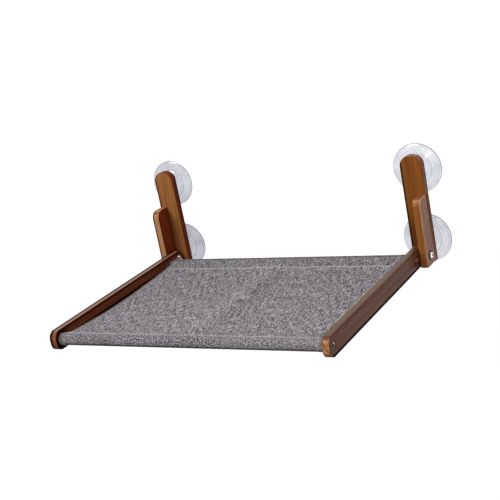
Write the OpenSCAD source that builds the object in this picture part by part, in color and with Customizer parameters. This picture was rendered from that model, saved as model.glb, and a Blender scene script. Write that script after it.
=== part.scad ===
// Window mounted cat perch: two wooden brackets held on the glass by suction cups,
// and a folding seat of two arms, two steel rails and a fabric sling.
// +Z is up, +Y points at the window and +X to the perch's right, seen from the room.
// The origin lies on the glass, at the centre of the four suction cups.

/* [Overall] */
// Width over the outer faces of the two side plates
overall_w = 500; // [440:5:640]
// Smoothness of every round surface
facets = 48; // [32:4:96]

/* [Posts] */
// Width of a post along the window
post_w = 36; // [32:1:50]
// Thickness of a post
post_t = 13; // [12:0.5:20]
// Length of a post
post_l = 174; // [165:1:240]
// Radius of a post's upper corners
post_corner_r = 16; // [2:0.5:16]

/* [Side plates] */
// Thickness of a side plate
plate_t = 13; // [10:0.5:18]
// How far a side plate stands out in front of its post
plate_d = 31; // [28:0.5:40]
// Length of a side plate, measured up from the foot of its post
plate_l = 111; // [90:1:140]
// Radius of a side plate's upper front corner
plate_corner_r = 13; // [2:0.5:18]

/* [Arms] */
// Length of an arm
arm_l = 377; // [300:1:440]
// Height of an arm
arm_h = 31; // [27:0.5:34]
// Thickness of an arm
arm_t = 12; // [10:0.5:16]
// Radius of the two corners at an arm's front end
arm_nose_r = 12; // [2:0.5:14]
// Gap between an arm's square rear end and the post that it stops against
stop_gap = 0.3; // [0.2:0.1:0.6]
// Gap between the folded arm and the post
fold_gap = 1; // [0.7:0.1:2]

/* [Rails] */
// Outer diameter of a rail tube
rail_d = 16; // [13:0.5:18]
// Wall of a rail tube
rail_wall = 1.5; // [1:0.1:2]
// Centre of the front rail behind the arms' front end
front_rail_inset = 14; // [12:0.5:30]
// Centre of the rear rail in front of the arms' rear end
rear_rail_inset = 40; // [36:0.5:60]

/* [Sling] */
// Thickness of the cloth
cloth_t = 0.8; // [0.6:0.1:1.2]
// Gap between the sling and an arm
sling_side_gap = 1; // [0.5:0.5:12]
// How far the sling's left edge draws in between the rails
left_waist = 13; // [0:0.5:18]
// How far the sling's right edge draws in between the rails
right_waist = 6; // [0:0.5:18]
// Distance of the rear hem's seam in front of the rear rail's centre
rear_hem_w = 40; // [26:1:50]
// Sag of the empty sling at its middle
sling_sag = 6; // [0:0.5:12]
// Height of the crease that runs along the sling's middle, from rail to rail
crease_height = 2.2; // [0:0.1:3]
// Distance from the crease's top to either foot
crease_half_w = 40; // [30:1:60]
// Clearance between the sleeves and the rails
sleeve_gap = 0.4; // [0.3:0.1:0.8]

/* [Suction cups] */
// Diameter of a suction cup
cup_d = 81; // [64:1:100]
// Distance from the glass to the back of a post
cup_standoff = 15; // [13:0.5:22]
// Distance between the centres of a post's two cups
cup_spacing = 116; // [104:1:130]
// Height of the lower cup's centre above the foot of the post
lower_cup_h = 31; // [24:0.5:36]
// Diameter of a cup's hub
hub_d = 25; // [20:0.5:30]
// Diameter of the threaded stud in a cup
stud_d = 6; // [5:0.5:8]
// Length of the stud inside the post
stud_grip = 9; // [7:0.5:10]
// Diameter of the flange that is moulded into the hub
flange_d = 15; // [12:0.5:17]
// Thickness of the moulded flange
flange_t = 2; // [1.5:0.1:3]
// Outer diameter of the threaded insert in the post
insert_d = 9; // [8.5:0.5:12]
// Length of the threaded insert
insert_l = 10; // [8:0.5:10.5]

/* [Pivots] */
// Height of the pivot above the foot of the post
pivot_h = 16.5; // [16:0.5:24]
// Diameter of the pivot bolt
pivot_d = 6; // [5:0.5:8]
// Radial running clearance of the pivot bolt
pivot_clear = 0.08; // [0.02:0.01:0.1]
// Diameter of the pivot bolt's head
head_d = 11; // [9.5:0.5:13]
// Height of the pivot bolt's head
head_h = 3; // [2.5:0.1:4]
// Depth of the head's socket
socket_h = 2; // [1.2:0.1:2.2]
// Size across the corners of the head's socket
socket_d = 4.6; // [3.5:0.1:5.5]
// Diameter of a plain washer
washer_d = 16; // [13:0.5:18]
// Thickness of a plain washer
washer_t = 1.2; // [0.8:0.1:1.6]
// Diameter of the spacer washer between plate and arm
spacer_d = 18; // [15:0.5:22]
// Thickness of the spacer washer, which is also the gap between plate and arm
spacer_t = 1; // [0.5:0.1:1.5]
// Size across the corners of the cap nut
nut_d = 11.5; // [10:0.5:13]
// Height of the cap nut's six-sided part
nut_h = 4; // [3.5:0.5:7]
// Height of the cap nut's domed end
nut_dome_h = 3; // [2.5:0.5:5]
// Length of the pivot bolt inside the cap nut
nut_grip = 4.5; // [4:0.5:5]

/* [Rail bolts] */
// Diameter of a rail bolt
rail_bolt_d = 6; // [5:0.5:7]
// Diameter of a rail bolt's head
rail_head_d = 10; // [9:0.5:12]
// Height of a rail bolt's head
rail_head_h = 4; // [3:0.5:5]
// Depth of the head below the face of the arm
head_sink = 0.2; // [0.1:0.1:1]
// Length of the threaded plug in each end of a rail
plug_l = 18; // [16:1:30]
// Length of a rail bolt inside its plug
plug_grip = 14; // [10:0.5:15]

/* [Plate screws] */
// Diameter of a wood screw's shank
screw_d = 4; // [3:0.5:5]
// Length of a wood screw
screw_l = 35; // [28:1:38]
// Diameter of a wood screw's countersunk head
screw_head_d = 8; // [7:0.5:9]

/* [Fits] */
// Radial clearance of every screw, stud and plug in its hole
hole_clear = 0.05; // [0.02:0.01:0.1]

/* [Hidden] */
$fn = facets;
eps = 0.01;
// Largest share of a board's width that a rounded corner may take
corner_limit_share = 0.45;
// Places of the two wood screws as shares of the side plate's length
screw_shares = [0.52, 0.88];
// Depth of a screw's cross recess as a share of its head's height
recess_share = 0.5;
// Width of a screw's cross recess as a share of its head
cross_width_share = 0.16;
// Length of a screw's cross recess as a share of its head
cross_length_share = 0.6;
// Radius of a cap nut's dome as a share of the nut's size across corners
dome_share = 0.42;

// Cup section, outer side: shares of its radius and of the standoff, from the rim inwards
cup_outer_shares = [[1, 0], [1, 0.06], [0.9, 0.17], [0.62, 0.42], [0.5, 0.66]];
// Height at which the hub begins, as a share of the standoff
hub_base_share = 0.76;
// Cup section, hollow side: from the centre out to the flat lip that meets the glass
cup_inner_shares = [[0, 0.42], [0.3, 0.4], [0.62, 0.24], [0.9, 0.06], [0.95, 0]];
// Height of the moulded flange above the glass, as a share of the standoff
flange_share = 0.6;

// Drop from the panel to a hem's end stitched under it, as a share of the cloth's thickness
lap_share = 1.25;
// Places along the panel, from the front seam to the rear seam
panel_shares = [0.05, 0.16, 0.3, 0.44, 0.58, 0.72, 0.86];
// Share of the waist that is left where the cloth passes round the rear rail
rear_waist_share = 0.6;
// Place of the crease across the sling as a share of the sling's half width
crease_share = 0.04;
// Places of the sling's surface points across it, as shares of its half width
width_shares = [-1, -0.8, -0.58, -0.38, -0.22, -0.12, -0.04, 0.04, 0.12, 0.2, 0.3, 0.42,
    0.56, 0.7, 0.85, 1];

// Where the boards lie across the perch
plate_in_x = overall_w / 2 - plate_t;
arm_out_x = plate_in_x - spacer_t;
arm_in_x = arm_out_x - arm_t;
post_x = overall_w / 2 - post_w / 2;
screw_x = overall_w / 2 - plate_t / 2;

// Where the boards lie from the glass into the room
post_back_y = -cup_standoff;
post_front_y = post_back_y - post_t;
arm_rear_y = post_front_y - stop_gap;
pivot_y = post_front_y - arm_h / 2 - fold_gap;
front_rail_y = arm_rear_y - arm_l + front_rail_inset;
rear_rail_y = arm_rear_y - rear_rail_inset;

// Heights
foot_z = -lower_cup_h - cup_spacing / 2;
pivot_z = foot_z + pivot_h;
arm_z = pivot_z - arm_h / 2;

// Corners, held inside the boards that they round
post_r = min(post_corner_r, post_w * corner_limit_share);
plate_r = min(plate_corner_r, plate_d * corner_limit_share);
nose_r = min(arm_nose_r, arm_h * corner_limit_share);
heel_r = arm_h / 2;

// Seats of the hardware
bore_r = pivot_d / 2 + pivot_clear;
nut_x = arm_in_x - washer_t;
plug_r = rail_d / 2 - rail_wall - hole_clear;
sink_depth = rail_head_h + head_sink;

// The cloth's centre line
sleeve_r = rail_d / 2 + sleeve_gap + cloth_t / 2;
sling_half_w = arm_in_x - sling_side_gap;
lap = cloth_t * lap_share;
front_seam_angle = asin((sleeve_r - lap) / sleeve_r);
front_seam_y = front_rail_y + sleeve_r * cos(front_seam_angle);
rear_seam_y = rear_rail_y - rear_hem_w;
rear_seam_sag = sag_share(rear_seam_y);
rear_seam = [-rear_hem_w, sleeve_r - lap - sling_sag * rear_seam_sag];
rear_seam_angle = atan2(rear_seam[1], rear_seam[0]) + acos(sleeve_r / norm(rear_seam));
front_steps = 15;
rear_steps = 9;
width_steps = len(width_shares) - 1;

// Children are drawn for the right side, and mirrored for the left side
module on_side(side) {
    mirror([side < 0 ? 1 : 0, 0, 0]) children();
}

// A flat outline in Y and Z becomes a board that runs along +X from x0
module board_along_x(x0, thickness) {
    translate([x0, 0, 0]) rotate([90, 0, 90]) linear_extrude(thickness) children();
}

// A round bar along +X from x0
module bar_x(r, x0, length, y, z) {
    translate([x0, y, z]) rotate([0, 90, 0]) cylinder(r = r, h = length);
}

// A round bar along -Y from y0
module bar_y(r, y0, length, x, z) {
    translate([x, y0, z]) rotate([90, 0, 0]) cylinder(r = r, h = length);
}

function cup_z(level) = level * cup_spacing / 2;
function screw_z(share) = foot_z + plate_l * share;

// Posts

module post_outline() {
    translate([-post_w / 2, 0]) square([post_w, post_l - post_r]);
    translate([post_r - post_w / 2, 0]) square([post_w - 2 * post_r, post_l]);
    for (s = [-1, 1]) translate([s * (post_w / 2 - post_r), post_l - post_r]) circle(r = post_r);
}

module post(side) {
    color("saddlebrown") on_side(side) difference() {
        translate([post_x, post_back_y, foot_z]) rotate([90, 0, 0])
            linear_extrude(post_t) post_outline();
        for (level = [-1, 1])
            bar_y(insert_d / 2 + hole_clear, post_back_y + eps, insert_l + eps, post_x, cup_z(level));
        for (share = screw_shares) {
            bar_y(screw_d / 2 + hole_clear, post_back_y + eps, post_t + 2 * eps, screw_x, screw_z(share));
            screw_head(share, hole_clear);
        }
    }
}

// Side plates

module plate_outline() {
    difference() {
        translate([-plate_d, 0]) square([plate_d, plate_l]);
        translate([-plate_d, plate_l - plate_r]) difference() {
            translate([-plate_r, 0]) square([2 * plate_r, 2 * plate_r]);
            translate([plate_r, 0]) circle(r = plate_r);
        }
    }
}

module side_plate(side) {
    color("sienna") on_side(side) difference() {
        translate([0, post_front_y, foot_z]) board_along_x(plate_in_x, plate_t) plate_outline();
        bar_x(bore_r, plate_in_x - eps, plate_t + 2 * eps, pivot_y, pivot_z);
        for (share = screw_shares)
            bar_y(screw_d / 2 + hole_clear, post_front_y + eps, screw_l - post_t + eps,
                screw_x, screw_z(share));
    }
}

// Wood screws that hold a side plate to its post

module screw_head(share, clear) {
    translate([screw_x, post_back_y + (clear > 0 ? eps : 0), screw_z(share)]) rotate([90, 0, 0])
        cylinder(r1 = screw_head_d / 2 + clear, r2 = screw_d / 2 + clear,
            h = (screw_head_d - screw_d) / 2);
}

module plate_screws(side) {
    head_h_screw = (screw_head_d - screw_d) / 2;
    color("silver") on_side(side) for (share = screw_shares) difference() {
        union() {
            screw_head(share, 0);
            bar_y(screw_d / 2, post_back_y - head_h_screw / 2, screw_l - head_h_screw,
                screw_x, screw_z(share));
        }
        for (turn = [0, 90])
            translate([screw_x, post_back_y, screw_z(share)]) rotate([0, turn, 0])
                cube([screw_head_d * cross_length_share, 2 * head_h_screw * recess_share,
                    screw_head_d * cross_width_share], center = true);
    }
}

// Suction cups, each with a moulded stud that screws into an insert in the post

module stud_body(clear) {
    flange_h = cup_standoff * flange_share;
    translate([0, 0, flange_h - clear]) cylinder(r = flange_d / 2 + clear, h = flange_t + 2 * clear);
    translate([0, 0, flange_h]) cylinder(r = stud_d / 2 + clear, h = cup_standoff - flange_h + stud_grip);
}

module cup(side, level) {
    outer = [for (p = cup_outer_shares) [p[0] * cup_d / 2, p[1] * cup_standoff]];
    inner = [for (p = cup_inner_shares) [p[0] * cup_d / 2, p[1] * cup_standoff]];
    hub = [[hub_d / 2, hub_base_share * cup_standoff], [hub_d / 2, cup_standoff], [0, cup_standoff]];
    color("lightsteelblue") on_side(side) translate([post_x, 0, cup_z(level)]) rotate([90, 0, 0])
        difference() {
            rotate_extrude() polygon(concat(outer, hub, inner));
            stud_body(hole_clear);
        }
}

module cup_studs(side) {
    color("gainsboro") on_side(side) for (level = [-1, 1])
        translate([post_x, 0, cup_z(level)]) rotate([90, 0, 0]) stud_body(0);
}

module cup_inserts(side) {
    color("goldenrod") on_side(side) for (level = [-1, 1]) difference() {
        bar_y(insert_d / 2, post_back_y, insert_l, post_x, cup_z(level));
        bar_y(stud_d / 2 + hole_clear, post_back_y + eps, insert_l + 2 * eps, post_x, cup_z(level));
    }
}

// Arms: the heel's upper corner is round, so that the arm can fold up in front of the post

module arm_outline() {
    translate([nose_r - arm_l, 0]) square([arm_l - nose_r - heel_r, arm_h]);
    translate([-heel_r - eps, 0]) square([heel_r + eps, arm_h - heel_r]);
    translate([-heel_r, arm_h - heel_r]) circle(r = heel_r);
    translate([-arm_l, nose_r]) square([nose_r + eps, arm_h - 2 * nose_r]);
    for (z = [nose_r, arm_h - nose_r]) translate([nose_r - arm_l, z]) circle(r = nose_r);
}

module arm(side) {
    color("peru") on_side(side) difference() {
        translate([0, arm_rear_y, arm_z]) board_along_x(arm_in_x, arm_t) arm_outline();
        bar_x(bore_r, arm_in_x - eps, arm_t + 2 * eps, pivot_y, pivot_z);
        for (y = [front_rail_y, rear_rail_y]) {
            bar_x(rail_bolt_d / 2 + hole_clear, arm_in_x - eps, arm_t + 2 * eps, y, pivot_z);
            bar_x(rail_head_d / 2 + head_sink, arm_out_x - sink_depth, sink_depth + eps, y, pivot_z);
        }
    }
}

// Rails between the arms, with a threaded plug pressed into each end

module rail(y) {
    color("silver") difference() {
        bar_x(rail_d / 2, -arm_in_x, 2 * arm_in_x, y, pivot_z);
        bar_x(rail_d / 2 - rail_wall, -arm_in_x - eps, 2 * arm_in_x + 2 * eps, y, pivot_z);
    }
}

module rail_plugs(y) {
    color("dimgray") for (side = [-1, 1]) on_side(side) difference() {
        bar_x(plug_r, arm_in_x - plug_l, plug_l, y, pivot_z);
        bar_x(rail_bolt_d / 2 + hole_clear, arm_in_x - plug_l - eps, plug_l + 2 * eps, y, pivot_z);
    }
}

module rail_bolts(y) {
    head_x = arm_out_x - sink_depth;
    color("whitesmoke") for (side = [-1, 1]) on_side(side) difference() {
        union() {
            bar_x(rail_head_d / 2, head_x, rail_head_h, y, pivot_z);
            bar_x(rail_bolt_d / 2, arm_in_x - plug_grip, plug_grip + head_x - arm_in_x, y, pivot_z);
        }
        translate([head_x + rail_head_h - socket_h, y, pivot_z]) rotate([0, 90, 0])
            cylinder(r = socket_d / 2, h = socket_h + eps, $fn = 6);
    }
}

// Pivots: a bolt through plate and arm, with its washers and cap nut

module pivot_bolt(side) {
    head_x = overall_w / 2 + washer_t;
    color("whitesmoke") on_side(side) difference() {
        union() {
            bar_x(head_d / 2, head_x, head_h / 2, pivot_y, pivot_z);
            translate([head_x + head_h / 2, pivot_y, pivot_z]) rotate([0, 90, 0])
                cylinder(r1 = head_d / 2, r2 = head_d / 2 - head_h / 2, h = head_h / 2);
            bar_x(pivot_d / 2, nut_x - nut_grip, nut_grip + head_x - nut_x, pivot_y, pivot_z);
        }
        translate([head_x + head_h - socket_h, pivot_y, pivot_z]) rotate([0, 90, 0])
            cylinder(r = socket_d / 2, h = socket_h + eps, $fn = 6);
    }
}

module washer(side, x0, d, thickness, tint) {
    color(tint) on_side(side) difference() {
        bar_x(d / 2, x0, thickness, pivot_y, pivot_z);
        bar_x(bore_r, x0 - eps, thickness + 2 * eps, pivot_y, pivot_z);
    }
}

module cap_nut(side) {
    dome_r = nut_d * dome_share;
    color("whitesmoke") on_side(side) difference() {
        union() {
            translate([nut_x - nut_h, pivot_y, pivot_z]) rotate([0, 90, 0])
                cylinder(r = nut_d / 2, h = nut_h, $fn = 6);
            translate([nut_x - nut_h, pivot_y, pivot_z]) rotate([0, -90, 0])
                cylinder(r1 = dome_r, r2 = dome_r / 2, h = nut_dome_h);
        }
        bar_x(pivot_d / 2 + hole_clear, nut_x - nut_grip - hole_clear, nut_grip + hole_clear + eps,
            pivot_y, pivot_z);
    }
}

// Sling: one strip of cloth from the front hem, over the panel, round the rear rail and back
// under itself to the rear seam. Each point of its centre line is [y, z, share of the sag,
// share of the waist].

function sag_share(y) = let (t = (y - front_seam_y) / (rear_rail_y - front_seam_y)) 4 * t * (1 - t);
function around(y, angle, waist) =
    [y + sleeve_r * cos(angle), pivot_z + sleeve_r * sin(angle), 0, waist];
function strip_line() = concat(
    [for (i = [0 : front_steps]) let (t = i / front_steps)
        around(front_rail_y, front_seam_angle * (1 - t) - 270 * t, 0)],
    [for (t = panel_shares) let (y = front_seam_y + (rear_seam_y - front_seam_y) * t)
        [y, pivot_z + sleeve_r, sag_share(y), 1]],
    [[rear_seam_y, pivot_z + sleeve_r, rear_seam_sag, 1]],
    [for (i = [0 : rear_steps]) let (t = i / rear_steps)
        around(rear_rail_y, 90 * (1 - t) + (rear_seam_angle - 360) * t, rear_waist_share)],
    [[rear_seam_y, pivot_z + sleeve_r - lap, rear_seam_sag, 1]]
);

line = strip_line();
last = len(line) - 1;

// Height of the cloth's crease as a share, then the cloth's place, across the perch
function crease(x) = let (d = abs(x - crease_share * sling_half_w) / crease_half_w)
    d < 1 ? (1 + cos(180 * d)) / 2 : 0;
function placed(x, i) =
    [line[i][0], line[i][1] - line[i][2] * (sling_sag - crease_height * crease(x))];
function across(k, i) = let (side = width_shares[k])
    side * (sling_half_w - (side < 0 ? left_waist : right_waist) * line[i][3]);

// The strip's two faces, half the cloth's thickness to either side of the centre line
function face_point(k, i, s) =
    let (
        x = across(k, i),
        p = placed(x, i),
        q = placed(x, min(i + 1, last)) - placed(x, max(i - 1, 0)),
        n = [-q[1], q[0]] / norm(q)
    )
    [x, p[0] + s * n[0] * cloth_t / 2, p[1] + s * n[1] * cloth_t / 2];

module sling() {
    ring = 2 * (last + 1);
    points = [for (k = [0 : width_steps]) each concat([for (i = [0 : last]) face_point(k, i, 1)],
        [for (i = [last : -1 : 0]) face_point(k, i, -1)])];
    walls = [for (k = [0 : width_steps - 1], j = [0 : ring - 1])
        let (a = k * ring + j, b = k * ring + (j + 1) % ring)
        each [[a, b, b + ring], [a, b + ring, a + ring]]];
    ends = [for (i = [0 : last - 1]) let (a = i, b = i + 1, c = ring - 2 - i, d = ring - 1 - i)
        each [[a, c, b], [a, d, c]]];
    shift = width_steps * ring;
    far = [for (f = ends) [f[0] + shift, f[2] + shift, f[1] + shift]];
    color("darkgray") polyhedron(points, concat(walls, ends, far));
}

post(-1);  // left_post
post(1);  // right_post
side_plate(-1);  // left_side_plate
side_plate(1);  // right_side_plate
plate_screws(-1);  // left_plate_screws
plate_screws(1);  // right_plate_screws
cup(-1, 1);  // upper_left_cup
cup(-1, -1);  // lower_left_cup
cup(1, 1);  // upper_right_cup
cup(1, -1);  // lower_right_cup
cup_studs(-1);  // left_cup_studs
cup_studs(1);  // right_cup_studs
cup_inserts(-1);  // left_cup_inserts
cup_inserts(1);  // right_cup_inserts
arm(-1);  // left_arm
arm(1);  // right_arm
rail(front_rail_y);  // front_rail
rail(rear_rail_y);  // rear_rail
rail_plugs(front_rail_y);  // front_rail_plugs
rail_plugs(rear_rail_y);  // rear_rail_plugs
rail_bolts(front_rail_y);  // front_rail_bolts
rail_bolts(rear_rail_y);  // rear_rail_bolts
sling();
pivot_bolt(-1);  // left_pivot_bolt
pivot_bolt(1);  // right_pivot_bolt
washer(-1, overall_w / 2, washer_d, washer_t, "black");  // left_head_washer
washer(1, overall_w / 2, washer_d, washer_t, "black");  // right_head_washer
washer(-1, arm_out_x, spacer_d, spacer_t, "ivory");  // left_spacer_washer
washer(1, arm_out_x, spacer_d, spacer_t, "ivory");  // right_spacer_washer
washer(-1, nut_x, washer_d, washer_t, "silver");  // left_nut_washer
washer(1, nut_x, washer_d, washer_t, "silver");  // right_nut_washer
cap_nut(-1);  // left_cap_nut
cap_nut(1);  // right_cap_nut
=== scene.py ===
# %% [markdown]
# # A cat's perch that hangs on a window
# Two wooden brackets stand on the glass, each on a pair of clear suction cups. A seat of two
# arms, two steel rails and one strip of grey cloth hinges between them, and folds up when it
# isn't used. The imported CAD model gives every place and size, so it is loaded first and all
# lengths below are read from it or written in millimetres.

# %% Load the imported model
import math
import bmesh
import bpy
import numpy as np
from mathutils import Matrix, Vector


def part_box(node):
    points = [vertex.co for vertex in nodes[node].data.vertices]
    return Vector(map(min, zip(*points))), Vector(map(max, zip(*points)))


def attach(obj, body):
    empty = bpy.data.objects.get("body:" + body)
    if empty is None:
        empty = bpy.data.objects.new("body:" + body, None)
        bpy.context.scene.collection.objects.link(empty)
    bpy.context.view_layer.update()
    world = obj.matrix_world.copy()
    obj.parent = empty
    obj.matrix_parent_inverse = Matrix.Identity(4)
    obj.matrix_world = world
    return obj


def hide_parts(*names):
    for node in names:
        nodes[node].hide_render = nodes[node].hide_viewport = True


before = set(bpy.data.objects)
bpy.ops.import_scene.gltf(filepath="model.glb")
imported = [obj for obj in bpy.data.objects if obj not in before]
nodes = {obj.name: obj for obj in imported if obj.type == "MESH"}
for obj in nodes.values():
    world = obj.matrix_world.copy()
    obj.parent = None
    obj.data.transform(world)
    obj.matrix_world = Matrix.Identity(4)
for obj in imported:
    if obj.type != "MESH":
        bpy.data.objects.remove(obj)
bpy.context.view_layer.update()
MM = 0.001
SIDES = {"left": -1, "right": 1}
print("CAD nodes loaded:", len(nodes))

# %% [markdown]
# ## The camera
# The camera stands to the perch's right, above it, and looks down along the arms. Its place,
# its three angles and its lens were solved from the straight edges of the boards and the
# outlines of the cups, so the model falls on the same pixels as the photographed perch.

# %% Place the camera
bpy.ops.object.camera_add(
    location=(0.872755, -1.602671, 0.485779),
    rotation=[math.radians(a) for a in (73.12064, 10.763751, 28.041457)],
)
camera = bpy.context.object
camera.name = "photo_camera"
camera.data.sensor_width = 36
camera.data.lens = 79.928
camera.data.clip_start, camera.data.clip_end = 0.05, 60
bpy.context.scene.camera = camera
bpy.context.scene.view_settings.view_transform = "Standard"

# %% [markdown]
# ## Shader maths as Python
# A procedural finish is a formula over the surface. Wiring it by hand takes dozens of nodes,
# so one small class wraps a socket: a plus, minus or times between wrapped sockets adds the
# Math node that does it. Every other node comes from one method, which takes the node's type,
# its settings and its inputs, where an input is a number, a colour or another wire.


# %% A wire that can be added and multiplied
class Wire:
    def __init__(self, sheet, socket):
        self.sheet, self.socket = sheet, socket

    def __add__(self, other):
        return self.sheet.maths("ADD", self, other)

    def __sub__(self, other):
        return self.sheet.maths("SUBTRACT", self, other)

    def __rsub__(self, other):
        return self.sheet.maths("SUBTRACT", other, self)

    def __mul__(self, other):
        return self.sheet.maths("MULTIPLY", self, other)

    def __truediv__(self, other):
        return self.sheet.maths("DIVIDE", self, other)

    __radd__, __rmul__ = __add__, __mul__


# %% Wiring: the nodes of one material or of the world
class Wiring:
    def __init__(self, tree):
        self.tree = tree

    def node(self, kind, settings=None, inputs=None, output=0):
        made = self.tree.nodes.new(kind)
        for key, value in (settings or {}).items():
            if key == "stops":
                ramp = made.color_ramp.elements
                while len(ramp) < len(value):
                    ramp.new(0.5)
                for stop, (place, colour) in zip(ramp, value):
                    stop.position, stop.color = place, (*colour, 1)
            else:
                setattr(made, key, value)
        for key, value in (inputs or {}).items():
            self.feed(made.inputs[key], value)
        return Wire(self, made.outputs[output])

    def feed(self, socket, value):
        if isinstance(value, Wire):
            self.tree.links.new(value.socket, socket)
        elif isinstance(value, tuple) and len(value) == 3 and socket.type == "RGBA":
            socket.default_value = (*value, 1)
        else:
            socket.default_value = value

    def maths(self, how, *values):
        return self.node("ShaderNodeMath", {"operation": how}, dict(enumerate(values)))

    def place(self, source="Object", scale=(1, 1, 1), shift=(0, 0, 0)):
        start = self.node("ShaderNodeTexCoord", output=source)
        inputs = {"Vector": start, "Scale": scale, "Location": shift}
        return self.node("ShaderNodeMapping", {}, inputs)

    def parts(self, vector):
        """The x, y and z of a vector, as three wires."""
        split = self.node("ShaderNodeSeparateXYZ", {}, {0: vector}).socket.node
        return [Wire(self, output) for output in split.outputs]

    def noise(self, where, detail, rough=0.5, twist=0.0):
        inputs = {"Vector": where, "Scale": 1.0, "Detail": detail}
        inputs.update({"Roughness": rough, "Distortion": twist})
        return self.node("ShaderNodeTexNoise", {}, inputs)

    def ease(self, value, low, high, start=0.0, end=1.0):
        inputs = {0: value, 1: low, 2: high, 3: start, 4: end}
        return self.node("ShaderNodeMapRange", {"interpolation_type": "SMOOTHSTEP"}, inputs)

    def blend(self, share, first, second):
        inputs = {0: share, 6: first, 7: second}
        return self.node("ShaderNodeMix", {"data_type": "RGBA"}, inputs, 2)

    def ramp(self, value, *stops):
        return self.node("ShaderNodeValToRGB", {"stops": stops}, {0: value})

    def bump(self, height, distance, strength):
        inputs = {"Height": height, "Distance": distance, "Strength": strength}
        return self.node("ShaderNodeBump", {}, inputs)

    def background_rays(self):
        """1 for the rays that see the background: straight, in gloss or through clear plastic."""
        rays = [self.node("ShaderNodeLightPath", output="Is %s Ray" % kind)
                for kind in ("Camera", "Glossy", "Transmission")]
        return self.maths("MAXIMUM", self.maths("MAXIMUM", rays[0], rays[1]), rays[2])


# %% Finish: a material with a Principled shader
class Finish(Wiring):
    def __init__(self, name, **constants):
        self.material = bpy.data.materials.new(name)
        self.material.use_nodes = True
        super().__init__(self.material.node_tree)
        self.shader = self.tree.nodes["Principled BSDF"]
        self.paint(**constants)

    def paint(self, **inputs):
        for socket, value in inputs.items():
            self.feed(self.shader.inputs[socket.replace("_", " ")], value)
        return self.material


def shade(red, green, blue):
    """The linear colour that a screen shows as these 0 to 255 values."""
    return tuple(
        c / 12.92 if c <= 0.04045 else ((c + 0.055) / 1.055) ** 2.4
        for c in (red / 255, green / 255, blue / 255)
    )


print("walnut in linear colour:", [round(c, 3) for c in shade(124, 68, 28)])

# %% [markdown]
# ## Studio light
# The photographed light is soft and comes from in front and above, so that the faces turned to
# the right stay darker. Floor and world show white to the camera and in reflections, but send
# less light back up, as the dark room round a white sweep does.

# %% World and lamps
ROOM_LIGHT, FLOOR_TONE = 0.42, 0.45
world = bpy.data.worlds.new("white_studio")
bpy.context.scene.world = world
world.use_nodes = True
sky = Wiring(world.node_tree)
backdrop = world.node_tree.nodes["Background"]
backdrop.inputs["Color"].default_value = (1, 1, 1, 1)
sky.feed(backdrop.inputs["Strength"], sky.background_rays() * (1 - ROOM_LIGHT) + ROOM_LIGHT)


def lamp(name, place, aim, size, watts):
    """A square soft lamp at place, turned to aim."""
    turn = (Vector(aim) - Vector(place)).to_track_quat("-Z", "Y").to_euler()
    bpy.ops.object.light_add(type="AREA", location=place, rotation=turn)
    made = bpy.context.object
    made.name, made.data.size, made.data.energy = name, size, watts


PERCH_MIDDLE = (0, -0.2, -0.03)
lamp("key_lamp", (-0.95, -2.0, 1.85), PERCH_MIDDLE, 1.4, 61)
lamp("top_lamp", (0.4, -0.5, 2.2), PERCH_MIDDLE, 1.6, 12)
lamp("catch_light", (0.53, -2.4, 0.66), PERCH_MIDDLE, 0.3, 2.5)

# %% Floor
bpy.ops.mesh.primitive_plane_add(size=60, location=(0, 0, -0.9))
floor = bpy.context.object
floor.name = "pale_floor"
sweep = Finish("pale_floor", Roughness=1.0, Specular_IOR_Level=0.0, Emission_Strength=1.0)
seen = sweep.background_rays()
tone = seen * (0.9 - FLOOR_TONE) + FLOOR_TONE
distance = sweep.node("ShaderNodeVectorMath", {"operation": "LENGTH"}, {0: sweep.place()}, 1)
far_glow = seen * sweep.ease(distance, 1.0, 5.0, 0.4, 0.8)
sweep.paint(
    Base_Color=sweep.node("ShaderNodeCombineColor", {}, {k: tone for k in range(3)}),
    Emission_Color=sweep.node("ShaderNodeCombineColor", {}, {k: far_glow for k in range(3)}),
)
floor.data.materials.append(sweep.material)
print("world, lamps and floor are in place")

# %% [markdown]
# ## Working by hand in code
# A new piece starts as a primitive of the right size and is shaped in edit mode. These helpers
# do what hands do: pick one object, pick edges at a place, apply a modifier, freeze a place.


# %% Helpers for edit mode and modifiers
def only(*pieces):
    """Selects just these pieces, and makes the first one active."""
    bpy.ops.object.select_all(action="DESELECT")
    for piece in pieces:
        piece.select_set(True)
    if pieces:
        bpy.context.view_layer.objects.active = pieces[0]


def freeze(piece, name=None):
    """Puts a piece's place, turn and size into its mesh, so that its object sits at the origin."""
    only(piece)
    bpy.ops.object.transform_apply(location=True, rotation=True, scale=True)
    piece.name = name or piece.name
    return piece


def pick_edges(piece, test):
    """Selects, in edit mode, the edges that pass a test."""
    bpy.ops.mesh.select_mode(type="EDGE")
    bpy.ops.mesh.select_all(action="DESELECT")
    cage = bmesh.from_edit_mesh(piece.data)
    for edge in cage.edges:
        if test(edge):
            edge.select_set(True)
    bmesh.update_edit_mesh(piece.data)


def modify(piece, kind, **settings):
    """Adds one modifier and applies it."""
    only(piece)
    added = piece.modifiers.new(kind.lower(), kind)
    for key, value in settings.items():
        setattr(added, key, value)
    bpy.ops.object.modifier_apply(modifier=added.name)


def smooth(piece, degrees=35):
    only(piece)
    bpy.ops.object.shade_smooth_by_angle(angle=math.radians(degrees))
    return piece


def box_of(node):
    """Lowest and highest corner of a CAD node, in metres."""
    return [Vector(corner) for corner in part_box(node)]


def hand_in(piece, body, material, slot, *replaced):
    """Gives a piece its material and body, and hides the CAD nodes that it stands for. The slot is
    not used.
    """
    piece.data.materials.clear()
    piece.data.materials.append(material)
    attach(piece, body)
    if replaced:
        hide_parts(*replaced)
    return piece


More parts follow.
